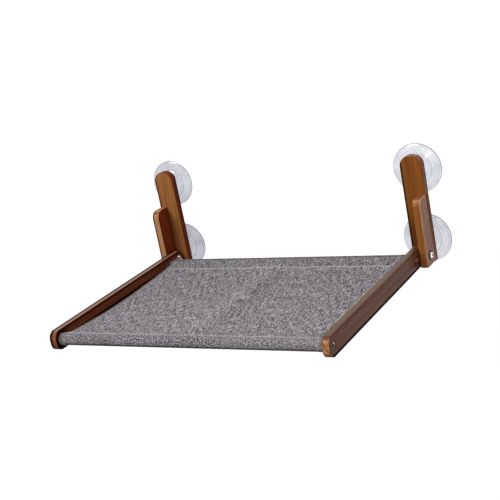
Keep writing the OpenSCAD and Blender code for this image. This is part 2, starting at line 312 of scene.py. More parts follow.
# %% Turned pieces: rings drawn out of a circle, one after another
def turned(name, rings, spot, direction, sides):
    """rings: (radius, height) in millimetres along the axis. Both ends close in a pole."""
    (radius, height), *others = rings
    only()
    bpy.ops.mesh.primitive_circle_add(
        vertices=sides, radius=radius * MM, fill_type="NOTHING", location=(0, 0, height * MM))
    piece = freeze(bpy.context.object, name)
    bpy.ops.object.mode_set(mode="EDIT")
    bpy.ops.mesh.select_all(action="SELECT")
    for new_radius, new_height in others:
        bpy.ops.mesh.extrude_region_move(
            TRANSFORM_OT_translate={"value": (0, 0, (new_height - height) * MM)})
        factor = new_radius / radius
        bpy.ops.transform.resize(
            value=(factor, factor, 1), center_override=(0, 0, new_height * MM))
        radius, height = new_radius, new_height
    bpy.ops.mesh.merge(type="CENTER")
    bpy.ops.mesh.select_mode(type="VERT")
    bpy.ops.mesh.select_all(action="DESELECT")
    bpy.ops.mesh.select_non_manifold()
    bpy.ops.mesh.merge(type="CENTER")
    bpy.ops.mesh.select_all(action="SELECT")
    bpy.ops.mesh.normals_make_consistent(inside=False)
    bpy.ops.object.mode_set(mode="OBJECT")
    piece.rotation_euler = Vector(direction).to_track_quat("Z", "Y").to_euler()
    piece.location = spot
    return freeze(piece)


def drill(piece, radius, start, end, sides=40):
    """Cuts a round hole, or one with a few flat sides, between two points."""
    run = Vector(end) - Vector(start)
    only()
    bpy.ops.mesh.primitive_cylinder_add(
        vertices=sides, radius=radius, depth=run.length,
        location=(Vector(start) + Vector(end)) / 2, rotation=run.to_track_quat("Z", "Y").to_euler())
    cutter = freeze(bpy.context.object)
    modify(piece, "BOOLEAN", object=cutter, operation="DIFFERENCE", solver="EXACT")
    bpy.data.objects.remove(cutter)


# %% [markdown]
# ## Stained wood
# The boards are a straight-grained hardwood under a walnut stain and a satin lacquer. Noises
# that are stretched along the grain give broad bands, streaks, fibres and pores, and the ends
# show slanting growth rings. A board has one middle tone for its faces across x, one across y
# and one across z: partly the stain taking differently on each face, partly painted light and
# shade for how each face is lit and what its gloss reflects. Its rounded edges get a painted
# shade line or a painted highlight, and painted shade darkens its underside, its outline edges,
# its corners, the places under other parts and the wood round the bolts. The lacquer's gloss
# greys the faces seen at a low angle.

# %% The wood finish
RING_SCALE, DRIFT_SCALE = 300, 60
# The near-black colour of all painted shade on the boards.
PAINTED_SHADE_TONE = shade(30, 9, 4)


def wood(name, grain, shift, tones, contrast, edges, gloss, end_reach=(0.55, 0.85), painted_shades=(),
         rings=(), end_contrast=1.6, across=0):
    """The finish of one board.
    grain: the axis number that the grain runs along.
    tones: middle colours of the faces across x, y and z, partly stain, partly painted light and
    shade.
    edges: painted shade or highlight colours of the edges to the left and right, then their
    strength.
    gloss: the lacquer's weight on the faces across x, y and z.
    end_reach: how far the y faces' tone reaches round a corner.
    stains: (axis, start, end, share), the places in millimetres where painted shade darkens the
    broad faces, or the narrow ones where that axis is the one across the board.
    rings: (y, z, near, far, share), round which painted shade darkens the faces across x.
    end_contrast: how strong the growth rings are, times contrast.
    across: the axis across the board; only what slants towards it counts as an edge."""
    made = Finish(name, Specular_IOR_Level=0.0, Coat_Roughness=0.32)

    def along(cross, length):
        scale = [cross] * 3
        scale[grain] = length
        return made.place(scale=tuple(scale), shift=shift)

    bands = made.noise(along(22, 1.6), 3, 0.5, 0.4)
    streaks = made.noise(along(210, 6), 5, 0.62, 0.25)
    fibres = made.noise(along(620, 22), 3, 0.6)
    pores = made.ease(made.noise(along(1500, 60), 2), 0.6, 0.68)
    long_figure = (bands * 0.3 + streaks * 0.9 + fibres * 0.4 - 0.8) * contrast + 0.5
    where = made.parts(made.place(shift=shift))
    first, second = [where[axis] for axis in range(3) if axis != grain]
    slanted = made.node("ShaderNodeCombineXYZ", {}, {
        0: (first + second) * RING_SCALE, 1: (second - first) * DRIFT_SCALE})
    end_figure = (made.noise(slanted, 2, 0.5, 0.3) - 0.5) * contrast * end_contrast + 0.5
    normal = made.parts(made.node("ShaderNodeTexCoord", output="Normal"))
    facing = [made.maths("ABSOLUTE", side) for side in normal]
    sideways = made.maths("MAXIMUM", 1 - facing[across] * facing[across], 0.0)
    flatness = made.maths("MAXIMUM", facing[across], made.maths("SQRT", sideways))
    on_face = [1.0, made.ease(facing[1], *end_reach), made.ease(facing[2], 0.75, 0.95)]
    on_shine = [*on_face[:2], made.ease(facing[2], 0.93, 0.99)]
    # Each face's tone: partly the stain, partly painted light and shade for how that face is lit.
    colour, shine = tones[0], gloss[0]
    for axis, tone in enumerate(tones):
        dark, pale = (tuple(channel * share for channel in tone) for share in (0.5, 1.6))
        face = made.ramp(end_figure if axis == grain else long_figure,
                         (0.25, dark), (0.5, tone), (0.78, pale))
        colour = made.blend(on_face[axis], colour, face)
        shine = shine + (gloss[axis] - shine) * on_shine[axis]
    flat = made.ease(flatness, 0.78, 0.98)
    # Painted shade or painted highlight on the rounded edges, by the side they face.
    edge = made.blend(made.ease(normal[0], -0.2, 0.2), edges[0], edges[1])
    colour = made.blend((1 - flat) * edges[2], colour, edge)
    colour = made.blend(pores * 0.35, colour, shade(50, 22, 9))
    # Painted shade: faces turned down are darker.
    colour = made.blend(made.ease(normal[2], -0.2, -0.6, 0.0, 0.7), colour, shade(92, 42, 24))
    place = made.parts(made.place())
    # Painted shade along outline edges, in corners and under other parts; the lacquer's gloss fades
    # with it.
    for axis, start, end, share in painted_shades:
        beside = 1 - facing[axis] if axis == across else facing[across]
        level = made.ease(place[axis] / MM, start, end, 0.0, share) * beside
        colour, shine = made.blend(level, colour, PAINTED_SHADE_TONE), shine * (1 - level)
    # Painted shade round the bolts and round the cloth's front roll.
    for ring_y, ring_z, near, far, share in rings:
        off_y, off_z = place[1] / MM - ring_y, place[2] / MM - ring_z
        reach = made.maths("SQRT", off_y * off_y + off_z * off_z)
        level = made.ease(reach, near, far, share, 0.0) * facing[0]
        colour, shine = made.blend(level, colour, PAINTED_SHADE_TONE), shine * (1 - level)
    height = made.noise(along(900, 30), 3) * 0.6 - pores * 0.5
    return made.paint(Base_Color=colour, Coat_Weight=shine * flat,
                      Roughness=made.ease(fibres, 0.3, 0.75, 0.42, 0.56),
                      Normal=made.bump(height, 0.0001, 0.5))


# %% Sizes that the pieces share
POST_R, PLATE_R, NOSE_R = 16 * MM, 13 * MM, 12 * MM
STUD_HOLE_R, STUD_HOLE_DEPTH = 4.55 * MM, 10 * MM
COUNTERBORE_R, COUNTERBORE_DEPTH = 5.2 * MM, 4.2 * MM
CUP_X, CUP_Z = 232 * MM, 58 * MM
rail_y = {end: sum(corner.y for corner in box_of(end + "_rail")) / 2 for end in ("front", "rear")}
_, pivot_y, pivot_z = sum(box_of("right_pivot_bolt"), Vector()) / 2
print("rail centres", rail_y, "pivot", pivot_y, pivot_z)

# %% One finish for each board
# Colours for the painted highlight, painted shade and painted half shade on rounded edges.
edge_highlight, edge_shade, edge_half_shade = shade(235, 188, 145), shade(46, 18, 10), shade(92, 46, 22)
# Places of painted shade: dark lines along outline edges and the arms' feet, rings round the rail
# bolts' counterbores, and shade round the front roll on the left arm.
post_back_shade = (1, -19.4, -17.6, 0.9)
bracket_left_shade = (0, -245.8, -247.6, 0.9)
arm_foot_shade = (2, -82.8, -84.6, 0.95)
rail_bolt_shades = [(y / MM, pivot_z / MM, 5.3, 6.6, 0.7) for y in rail_y.values()]
front_roll_shade = (rail_y["front"] / MM, pivot_z / MM, 10.5, 26.0, 0.8)
# The lists after each board's gloss are painted shade: dark outline lines, lower posts darker
# beside the side plates, the cloth's contact line on the left arm, a shaded corner at the right
# arm's nose, and rings round the bolts and the front roll.
woods = {
    "left": (
        wood("left_post_wood", 2, (0.31, 0.17, 0.05), (
            shade(122, 54, 32), shade(147, 95, 52), shade(112, 62, 28)), 1.1,
            (edge_shade, edge_shade, 0.8), (0.0, 0.1, 0.3),
            painted_shades=[post_back_shade, bracket_left_shade, (2, 50, -50, 0.22)], across=1),
        wood("left_plate_wood", 2, (0.6, 0.3, 0.2), (
            shade(122, 52, 24), shade(162, 116, 80), shade(164, 114, 84)), 0.7,
            (edge_shade, edge_shade, 0.7), (0.0, 0.1, 0.3),
            painted_shades=[bracket_left_shade, (1, -56.4, -57.8, 0.7)]),
        wood("left_arm_wood", 1, (0.12, 0.7, 0.4), (
            shade(106, 52, 28), shade(120, 76, 51), shade(134, 90, 74)), 0.8,
            (edge_shade, edge_shade, 0.95), (0.08, 0.1, 0.7), end_reach=(0.12, 0.35),
            painted_shades=[(0, -229.8, -232.0, 0.95), (2, -62.0, -60.0, 0.75),
                    (2, -69.8, -72.2, 0.92), arm_foot_shade],
            rings=[front_roll_shade], end_contrast=0.7),
    ),
    "right": (
        wood("right_post_wood", 2, (0.83, 0.42, 0.66), (
            shade(150, 94, 62), shade(129, 75, 32), shade(138, 88, 58)), 0.7,
            (edge_shade, edge_half_shade, 0.8), (0.4, 0.1, 0.6),
            painted_shades=[post_back_shade, (0, 218.0, 216.2, 0.9), (2, 20, -50, 0.6)], across=1),
        wood("right_plate_wood", 2, (0.2, 0.9, 0.5), (
            shade(180, 129, 104), shade(152, 94, 48), shade(130, 80, 46)), 0.8,
            (edge_half_shade, edge_highlight, 0.9), (0.4, 0.1, 0.3)),
        wood("right_arm_wood", 1, (0.55, 0.2, 0.9), (
            shade(108, 62, 38), shade(160, 114, 76), shade(84, 54, 32)), 1.1,
            (edge_half_shade, edge_shade, 0.95), (0.36, 0.1, 0.6), end_reach=(0.6, 0.97),
            painted_shades=[(2, -58.8, -57.6, 0.35), (1, -403.6, -404.9, 0.7), arm_foot_shade],
            rings=rail_bolt_shades),
    ),
}
print("wood finishes:", sum(len(boards) for boards in woods.values()))

# %% [markdown]
# ## Boards
# Each board starts as a cube of the CAD node's size. Its big corners are bevelled edges, then
# the edges that a hand touches are rounded over, each by its own share of one radius. Edges
# where two boards meet stay square: a rounded edge there would open a groove that the glued
# joint of the real one hasn't.


# %% Model one board
def board(name, node, corners, radius, share_at, split_z=None):
    """corners: (axis across the board, a point on the edge, radius). share_at: the share of the
    rounding radius at an edge's middle. split_z: height where the edges are cut in two first."""
    low, high = box_of(node)
    only()
    bpy.ops.mesh.primitive_cube_add(size=1, location=(low + high) / 2, scale=high - low)
    piece = freeze(bpy.context.object, name)
    bpy.ops.object.mode_set(mode="EDIT")
    for across, spot, corner_radius in corners:

        def at_corner(edge):
            start, end = (vert.co for vert in edge.verts)
            off = (start + end) / 2 - Vector(spot)
            off[across] = 0
            return abs((end - start).normalized()[across]) > 0.99 and off.length < 0.1 * MM

        pick_edges(piece, at_corner)
        bpy.ops.mesh.bevel(offset=corner_radius, segments=14, profile=0.5, affect="EDGES")
    if split_z is not None:
        bpy.ops.mesh.select_all(action="SELECT")
        bpy.ops.mesh.bisect(plane_co=(0, 0, split_z), plane_no=(0, 0, 1))
    cage = bmesh.from_edit_mesh(piece.data)
    weight = cage.edges.layers.float.new("bevel_weight_edge")
    for edge in cage.edges:
        if len(edge.link_faces) == 2 and edge.calc_face_angle() > math.radians(40):
            edge[weight] = share_at((edge.verts[0].co + edge.verts[1].co) / 2)
    bmesh.update_edit_mesh(piece.data)
    bpy.ops.object.mode_set(mode="OBJECT")
    modify(piece, "BEVEL", width=radius, segments=4, limit_method="WEIGHT")
    return piece


# %% Posts, side plates and arms
for hand, side in SIDES.items():
    post_wood, plate_wood, arm_wood = woods[hand]
    low, high = box_of(hand + "_post")
    plate_low, plate_high = box_of(hand + "_side_plate")
    outer_x = plate_high.x if side > 0 else plate_low.x

    def post_share(middle):
        at_plate = abs(middle.x - outer_x) < 1 * MM and middle.y < low.y + 1 * MM
        if middle.z < low.z + 1 * MM or (at_plate and middle.z < plate_high.z):
            return 0
        return 1 if middle.y < low.y + 1 * MM else 0.4

    post = board(
        hand + "_post_board", hand + "_post",
        [(1, (x, 0, high.z), POST_R) for x in (low.x, high.x)],
        1.1 * MM, post_share, plate_high.z)
    for z in (-CUP_Z, CUP_Z):
        spot = Vector(((low.x + high.x) / 2, high.y, z))
        drill(post, STUD_HOLE_R, spot + Vector((0, MM, 0)),
              spot - Vector((0, STUD_HOLE_DEPTH, 0)))
    hand_in(smooth(post, 32), "brackets", post_wood, "post_wood", hand + "_post")

    def plate_share(middle):
        if middle.y > plate_high.y - 1 * MM:
            return 0
        return 1 if side > 0 and middle.x > outer_x - 1 * MM else 0.6

    plate = board(
        hand + "_plate_board", hand + "_side_plate",
        [(0, (0, plate_low.y, plate_high.z), PLATE_R)], 1.6 * MM, plate_share)
    hand_in(smooth(plate, 32), "brackets", plate_wood, "plate_wood", hand + "_side_plate")

    low, high = box_of(hand + "_arm")

    def arm_share(middle):
        left_inner = side < 0 and abs(middle.x - high.x) < 1 * MM
        return 1 if left_inner and middle.z > pivot_z + 9 * MM else 0.6

    arm = board(
        hand + "_arm_board", hand + "_arm",
        [(0, (0, low.y, low.z), NOSE_R), (0, (0, low.y, high.z), NOSE_R),
         (0, (0, high.y, high.z), (high.z - low.z) / 2)],
        1.3 * MM, arm_share)
    arm_x = high.x if side > 0 else low.x
    for y in rail_y.values():
        drill(arm, COUNTERBORE_R, (arm_x + side * MM, y, pivot_z),
              (arm_x - side * COUNTERBORE_DEPTH, y, pivot_z))
    hand_in(smooth(arm, 32), "seat", arm_wood, "arm_wood", hand + "_arm")
    print(hand, "boards, faces:", [len(piece.data.polygons) for piece in (post, plate, arm)])

# %% [markdown]
# ## Suction cups
# A cup is moulded from clear soft plastic: a thick hub that carries the stud, a bell that thins
# out to a lip, and two fine steps on the bell. It is turned as one closed profile, outside and
# inside, so that light bends through both walls as in the real cup.

# %% Clear plastic
clear = Finish("clear_plastic", Roughness=0.07, IOR=1.5, Transmission_Weight=1.0)
x, y, z = clear.parts(clear.place())
across = clear.maths("ABSOLUTE", x) - CUP_X
up = clear.maths("ABSOLUTE", z) - CUP_Z
from_axis = clear.maths("SQRT", across * across + up * up) / MM
# Painted shade: dark rings at the lip and at the steps of the bell.
PAINTED_SHADE_RINGS = [(40.2, 1.2, 1.0), (36.4, 0.9, 0.4), (31.5, 2.4, 0.12), (25.2, 1.2, 0.45),
              (19.6, 0.9, 0.15)]  # each: radius, reach to either side, strength
rings = 0.0
for radius, reach, share in PAINTED_SHADE_RINGS:
    off = clear.maths("ABSOLUTE", from_axis - radius)
    rings = clear.maths("MAXIMUM", rings, clear.ease(off, 0.0, reach, share, 0.0))
cloudy = clear.noise(clear.place(scale=(45, 45, 45)), 3)
tint = clear.blend(clear.ease(cloudy, 0.3, 0.7), shade(196, 198, 208), shade(219, 219, 225))
# Painted shade darkens the left cups, most towards the bottom, and painted light turns the top of
# the upper right cup paler.
on_left = clear.ease(x, 0.1, -0.1)
left_cup_shade = on_left * clear.ease(z, 0.02, -0.02, 0.42, 0.8)
upper_right_cup_light = (1 - on_left) * clear.ease(z, 0.06, 0.09, 0.0, 0.38)
tint = clear.blend(left_cup_shade, tint, shade(172, 172, 180))
tint = clear.blend(upper_right_cup_light, tint, shade(238, 238, 242))
clear.paint(Base_Color=clear.blend(rings, tint, shade(96, 98, 110)))

# %% Turn the four cups
CUP_OUTSIDE = [
    (1.5, 15), (5, 15), (11.6, 15), (12.3, 14.8), (12.5, 14.2), (12.5, 12.2), (12.9, 11.5),
    (13.8, 11.2), (17, 10.7), (19.2, 10.2), (20.2, 9.8), (20.9, 9.1), (22.4, 8.0), (24.6, 6.5),
    (25.6, 6.15), (28, 5.4), (31.5, 4.2), (35.6, 2.75), (36.6, 2.6), (38.4, 1.75), (40, 0.95),
    (40.4, 0.6), (40.5, 0.2),
]
CUP_INSIDE = [(40.2, 0.0), (38.8, 0.0), (38.2, 0.2), (36.45, 0.9), (31, 2.25), (25.1, 3.6),
              (18, 5.0), (12.15, 6.0), (6, 6.25), (1.5, 6.3)]
for level, height in {"upper": CUP_Z, "lower": -CUP_Z}.items():
    for hand, side in SIDES.items():
        cup = turned("%s_%s_bell" % (level, hand), CUP_OUTSIDE + CUP_INSIDE,
                     (side * CUP_X, 0, height), (0, -1, 0), 80)
        hand_in(smooth(cup, 50), "brackets", clear.material, "cup_pvc",
                "%s_%s_cup" % (level, hand))
print("faces in a cup:", len(cup.data.polygons))

# %% [markdown]
# ## Bolts, washers and nuts
# Each pivot has a button head bolt with a hexagon socket outside the plate and a cap nut inside
# the arm. The rails' bolts sit in counterbores. Heads are turned, sockets are cut with a
# six-sided cutter, and the cap nut is a six-sided block under a turned dome.


# %% Steel, black and nylon finishes
def metal(name, colour, rough, sockets=()):
    """sockets: (y, z, radius) of painted shade on bolt heads, round their hexagon sockets and where
    a counterbore's wall would shade the head.
    """
    made = Finish(name, Metallic=1.0)
    grain = made.noise(made.place(scale=(900, 900, 900)), 3)
    smudge = made.noise(made.place(scale=(130, 130, 130)), 3)
    darker = tuple(channel * 0.72 for channel in colour)
    tone = made.blend(made.ease(smudge, 0.35, 0.7), colour, darker)
    x, y, z = made.parts(made.place())
    # Painted shade on the bolt heads.
    for at_y, at_z, dark_r in sockets:
        off_y, off_z = y - at_y, z - at_z
        reach = made.maths("SQRT", off_y * off_y + off_z * off_z) / MM
        dark = made.ease(reach, dark_r, dark_r + 0.3, 0.95, 0.0)
        tone = made.blend(dark, tone, shade(34, 20, 18))
    return made.paint(
        Base_Color=tone,
        Roughness=made.ease(smudge, 0.3, 0.7, rough, rough + 0.1),
        Normal=made.bump(grain, 0.00003, 0.4))


def plastic(name, colour, rough):
    made = Finish(name)
    grain = made.noise(made.place(scale=(700, 700, 700)), 3)
    lighter = tuple(min(1, channel * 1.5 + 0.01) for channel in colour)
    return made.paint(
        Base_Color=made.blend(made.ease(grain, 0.4, 0.75), colour, lighter),
        Roughness=made.ease(grain, 0.3, 0.7, rough - 0.08, rough + 0.08),
        Normal=made.bump(grain, 0.00005, 0.5))


zinc = metal("bright_zinc", shade(222, 222, 226), 0.18)
# Painted shade on the pivot heads round their sockets, and off-centre on the front rail heads,
# where the counterbore's wall would shade them.
bolt_zinc = metal("bolt_zinc", shade(236, 226, 222), 0.2,
                  [(pivot_y, pivot_z, 2.0), (rail_y["front"] - 1.3 * MM, pivot_z, 3.2)])
# The cap nuts' brownish grey is a painted reflection of the wood round them.
nut_zinc_wood_reflection = metal("nut_zinc_wood_reflection", shade(150, 116, 104), 0.2)
rail_steel = metal("rail_steel", shade(196, 198, 202), 0.26)
stud_steel = metal("stud_steel", shade(205, 203, 198), 0.3)
brass = metal("insert_brass", shade(196, 160, 92), 0.32)
black = plastic("black_washer", shade(12, 9, 9), 0.6)
nylon = plastic("white_nylon", shade(222, 220, 212), 0.4)

# %% Pivot bolts and cap nuts
HEX_HOLE, HEX_DEPTH = 2.3 * MM, 2 * MM
PIVOT_BOLT_LENGTH = 35.2
for hand, side in SIDES.items():
    low, high = box_of(hand + "_pivot_bolt")
    tip = Vector((low.x if side > 0 else high.x, pivot_y, pivot_z))
    bolt = turned(hand + "_button_bolt", [
        (1, 0), (2.6, 0), (3, 0.4), (3, 32.9), (5.0, 32.9), (5.4, 33.05), (5.5, 33.3),
        (5.45, 33.8), (5.1, 34.4), (4.5, 34.9), (3.6, 35.15), (2.9, PIVOT_BOLT_LENGTH),
        (1, PIVOT_BOLT_LENGTH),
    ], tip, (side, 0, 0), 36)
    away = Vector((side, 0, 0))
    face = tip + away * PIVOT_BOLT_LENGTH * MM
    drill(bolt, HEX_HOLE, face + away * MM, face - away * HEX_DEPTH, 6)
    hand_in(smooth(bolt), "brackets", bolt_zinc, "bolt_steel", hand + "_pivot_bolt")

    low, high = box_of(hand + "_cap_nut")
    seat_x = high.x if side > 0 else low.x
    nut = turned(hand + "_acorn_nut", [
        (3.03, 0), (5.0, 0), (5.75, 0.45), (5.75, 3.5), (5.05, 4.0), (4.75, 4.0)],
        (seat_x, pivot_y, pivot_z), (-side, 0, 0), 6)
    dome = turned(hand + "_dome", [
        (1, 3.6), (4.7, 3.6), (4.75, 4.1), (4.6, 5.0), (4.1, 5.9), (3.2, 6.6), (2.0, 6.93),
        (0.8, 7.0)], (seat_x, pivot_y, pivot_z), (-side, 0, 0), 32)
    only(nut, dome)
    bpy.ops.object.join()
    hand_in(smooth(nut, 25), "brackets", nut_zinc_wood_reflection, "bolt_steel", hand + "_cap_nut")
print("faces in a pivot bolt:", len(bolt.data.polygons))

# %% Rail bolts in their counterbores
RAIL_BOLT_X, RAIL_BOLT_LENGTH = 216.8 * MM, 18.2
for end, y in rail_y.items():
    pair = []
    for side in SIDES.values():
        away = Vector((side, 0, 0))
        tip = Vector((side * RAIL_BOLT_X, y, pivot_z))
        bolt = turned(end + "_rail_screw", [
            (1, 0), (2.6, 0), (3, 0.5), (3, 15), (4.7, 15), (5.0, 15.25), (5.0, 17.4),
            (4.75, 17.95), (4.3, RAIL_BOLT_LENGTH), (1, RAIL_BOLT_LENGTH)], tip, away, 36)
        face = tip + away * RAIL_BOLT_LENGTH * MM
        drill(bolt, HEX_HOLE, face + away * MM, face - away * HEX_DEPTH, 6)
        pair.append(bolt)
    only(*pair)
    bpy.ops.object.join()
    hand_in(smooth(pair[0]), "seat", bolt_zinc, "bolt_steel", end + "_rail_bolts")

# %% The CAD's own small parts get their finishes
carried = {
    zinc: ["left_nut_washer", "right_nut_washer", "left_plate_screws", "right_plate_screws"],
    black: ["left_head_washer", "right_head_washer"],
    nylon: ["left_spacer_washer", "right_spacer_washer"],
    stud_steel: ["left_cup_studs", "right_cup_studs"],
    brass: ["left_cup_inserts", "right_cup_inserts"],
    rail_steel: ["front_rail", "rear_rail", "front_rail_plugs", "rear_rail_plugs"],
}
for material, names in carried.items():
    for name in names:
        for place in nodes[name].material_slots:
            place.material = material
print("carried-over CAD nodes:", sum(len(names) for names in carried.values()))

# %% [markdown]
# ## The sling
# The seat is one strip of woven cloth. Its front end wraps the front rail once round and is
# sewn down under the panel. The panel runs back over the rear rail, and the strip comes forward
# again beneath it to the rear seam. Between the rails only the cloth's own tension holds it, so
# it draws in at the sides behind the front rail and hangs down a little. It keeps one low crease
# near the middle and a fainter one to the right of it.

# %% The strip's line from end to end
ROLL_R, SAG = 8.8, 6.0
CREASES = [(8.9, 40.0, 2.2), (84.0, 36.0, 0.6)]  # each: x of its ridge, half its width, height
HALF_W, HEM = 223.0, 9.0
front_y, rear_y, axis_z = (round(place / MM, 2) for place in (*rail_y.values(), pivot_z))
FRONT_SEAM, REAR_SEAM = front_y + 4.08, rear_y - 40.0
roll_top = axis_z + ROLL_R


def arc(y, start, end):
    """Points round a rail, from one angle to another, in degrees."""
    count = max(2, round(abs(end - start) / 8))
    turn = np.radians(np.linspace(start, end, count + 1))
    return np.stack([y + ROLL_R * np.cos(turn), axis_z + ROLL_R * np.sin(turn)], 1)


def straight(start, end, step):
    share = np.linspace(0, 1, round(math.dist(start, end) / step) + 1)[:, None]
    return np.array(start) * (1 - share) + np.array(end) * share


def sag_share(y):
    t = np.clip((y - FRONT_SEAM) / (rear_y - FRONT_SEAM), 0, 1)
    return 4 * t * (1 - t)


front_wrap = arc(front_y, 62.4, -270)
panel = straight((front_y, roll_top), (rear_y, roll_top), 3.2)[1:]
rear_wrap = arc(rear_y, 90, -109.96)[1:]
return_hem = straight(rear_wrap[-1], (REAR_SEAM, roll_top - 1.0), 3.0)[1:]
line = np.concatenate([front_wrap, panel, rear_wrap, return_hem])
back = np.linspace(0, 1, len(return_hem) + 1)[1:]
sag = np.concatenate([
    np.zeros(len(front_wrap)), sag_share(panel[:, 0]), np.zeros(len(rear_wrap)),
    back * sag_share(REAR_SEAM)])
line[:, 1] -= SAG * sag
length = np.concatenate([[0], np.cumsum(np.hypot(*np.diff(line, axis=0).T))])
row_count = len(line)
print("rows along the strip:", row_count, "cut length in mm:", round(length[-1], 1))

# %% How far each row draws in at its two edges
LEFT_WAIST, RIGHT_WAIST = 13.0, 6.0
NECK_AT = [0, 2, 5, 8, 12, 17, 60, 85, 170, 283, 300, 312, 323]
NECK_SHARE = [0, 0.2, 0.62, 0.9, 1.0, 1.03, 1.1, 1.1, 1.0, 0.97, 0.86, 0.72, 0.6]
REAR_SHARE, END_SHARE = NECK_SHARE[-1], 0.97
neck = np.concatenate([
    np.zeros(len(front_wrap)), np.interp(panel[:, 0] - front_y, NECK_AT, NECK_SHARE),
    np.full(len(rear_wrap), REAR_SHARE), REAR_SHARE + (END_SHARE - REAR_SHARE) * back])

# %% Where a point of the cloth lies
is_panel = np.zeros(row_count)
is_panel[len(front_wrap) - 1:len(front_wrap) + len(panel)] = 1
tangent = np.gradient(line, length, axis=0)
tangent /= np.linalg.norm(tangent, axis=1)[:, None]
outward = np.stack([-tangent[:, 1], tangent[:, 0]], 1)


def ease_out(value, width):
    return np.exp(-np.abs(value) / width)


def cloth_point(across, along, off=0.0):
    """A point of the strip in metres. across: -223 to 223 mm on the flat cloth. along: mm from
    the front end. off: distance above the cloth's middle."""
    across, along = np.broadcast_arrays(np.asarray(across, float), np.asarray(along, float))
    y, z = (np.interp(along, length, line[:, k]) for k in (0, 1))
    on_panel, sag_here, neck_here = (
        np.interp(along, length, values) for values in (is_panel, sag, neck))
    x = across * (1 - neck_here * np.where(across < 0, LEFT_WAIST, RIGHT_WAIST) / HALF_W)
    crease = sum(tall * (1 + np.cos(np.pi * np.clip(np.abs(x - middle) / half, 0, 1))) / 2
                 for middle, half, tall in CREASES)
    edge = HALF_W - np.abs(across)
    to_front, to_rear = y - FRONT_SEAM, REAR_SEAM - y
    pucker = 0.28 * np.sin(across / 3.1 + 1.7 * np.sin(across / 23)) * (
        ease_out(to_front, 9) + ease_out(to_rear, 10)) * (to_front > 0) * (to_rear > 0)
    pucker = pucker + 0.22 * np.sin(y / 4.3 + 1.3 * np.sin(y / 31)) * ease_out(edge - HEM, 5)
    ripple = 0.35 * np.sin(across / 19 + 0.9 * np.sin(y / 60)) * np.sin(y / 47 + across / 90)
    lift = (pucker + ripple * sag_here) * on_panel + crease * sag_here
    normal_y, normal_z = (np.interp(along, length, outward[:, k]) for k in (0, 1))
    return np.stack([x, y + off * normal_y, z + lift + off * normal_z], -1) * MM


# %% Lay a grid along the line
edge_columns = np.array([0, 0.5, 1.4, 3, 5, 7, 8.5, 9.5, 10.4, 11.4, 13, 15.5])
middle = np.linspace(edge_columns[-1], 2 * HALF_W - edge_columns[-1], 128)[1:-1]
columns = np.concatenate([edge_columns, middle, 2 * HALF_W - edge_columns[::-1]]) - HALF_W
column_count = len(columns)
only()
bpy.ops.mesh.primitive_grid_add(
    x_subdivisions=column_count - 1, y_subdivisions=row_count - 1, size=1, calc_uvs=True)
sling = freeze(bpy.context.object, "sling_cloth")
flat = np.empty(len(sling.data.vertices) * 3)
sling.data.vertices.foreach_get("co", flat)
column = np.rint((flat[0::3] + 0.5) * (column_count - 1)).astype(int)
row = np.rint((flat[1::3] + 0.5) * (row_count - 1)).astype(int)
sling.data.vertices.foreach_set("co", cloth_point(columns[column], length[row]).ravel())
corners = np.empty(len(sling.data.loops), dtype=np.int64)
sling.data.loops.foreach_get("vertex_index", corners)
cut = np.stack([(columns[column] + HALF_W) * MM, length[row] * MM], 1)[corners]
sling.data.uv_layers[0].data.foreach_set("uv", cut.ravel())
sling.data.update()
print("cloth grid:", column_count, "by", row_count)

# %% Hems are two layers thick
HEM_THICK, ONE_LAYER = 1.38, 0.58
thick = sling.vertex_groups.new(name="thickness")
in_hem = HALF_W - np.abs(columns[column]) < HEM
for value, chosen in ((1.0, in_hem), (ONE_LAYER, ~in_hem)):
    thick.add(np.nonzero(chosen)[0].tolist(), value, "REPLACE")
modify(sling, "SOLIDIFY", thickness=HEM_THICK * MM, offset=0, vertex_group="thickness",
       use_even_offset=False, use_rim=True)
smooth(sling, 60)

# %% [markdown]
# ## Woven cloth
# The grey is a melange: each yarn is spun from light and dark fibres, so flecks run along the
# strip. The weave is a plain one, warp over weft by turns. Both read the cloth's own flat
# coordinates, so that the flecks bend round the rails with the cloth.

# %% The cloth finish
YARN = 0.9 * MM
# Where the painted shade and painted light beside the main crease's ridge run across the cloth.
CREASE_SHADE_U, CREASE_LIGHT_U = 0.251, 0.217
REAR_TOP = float(length[len(front_wrap) + len(panel) - 1]) * MM
wrap_end = float(length[len(front_wrap) - 1])
cloth = Finish("grey_melange", Specular_IOR_Level=0.25, Sheen_Weight=0.12, Sheen_Roughness=0.5)
u, v, _ = cloth.parts(cloth.place("UV"))
warp = cloth.maths("SINE", u * (math.pi / YARN))
weft = cloth.maths("SINE", v * (math.pi / YARN))
warp_on_top = cloth.ease(warp * weft, -0.15, 0.15)
warp_tone = cloth.noise(cloth.place("UV", (1150, 95, 1)), 3, 0.6)
long_flecks = cloth.noise(cloth.place("UV", (1000, 60, 1), (9, 1, 0)), 1, 0.5)
short_flecks = cloth.noise(cloth.place("UV", (950, 240, 1), (2, 8, 0)), 1, 0.5)
fine_flecks = cloth.noise(cloth.place("UV", (900, 480, 1), (6, 3, 0)), 1, 0.5)
broad = cloth.noise(cloth.place("UV", (26, 14, 1), (1, 5, 0)), 2)
on_top = cloth.ease(v, 0.048, 0.062)
slubs = (long_flecks - 0.5) * (on_top * 2.4 + 0.6) + (short_flecks - 0.5) * on_top * 3.7
slubs = slubs + (fine_flecks - 0.5) * (1 - on_top) * 3.8
yarn_tone = slubs + warp_tone * 0.6 + broad * 0.15 + 0.08
left_hem = cloth.ease(u, (HEM - 1) * MM, (HEM + 0.4) * MM, 0.65, 0.0)
right_hem = cloth.ease(u, (2 * HALF_W - 6) * MM, (2 * HALF_W - 1) * MM, 0.0, 0.45)
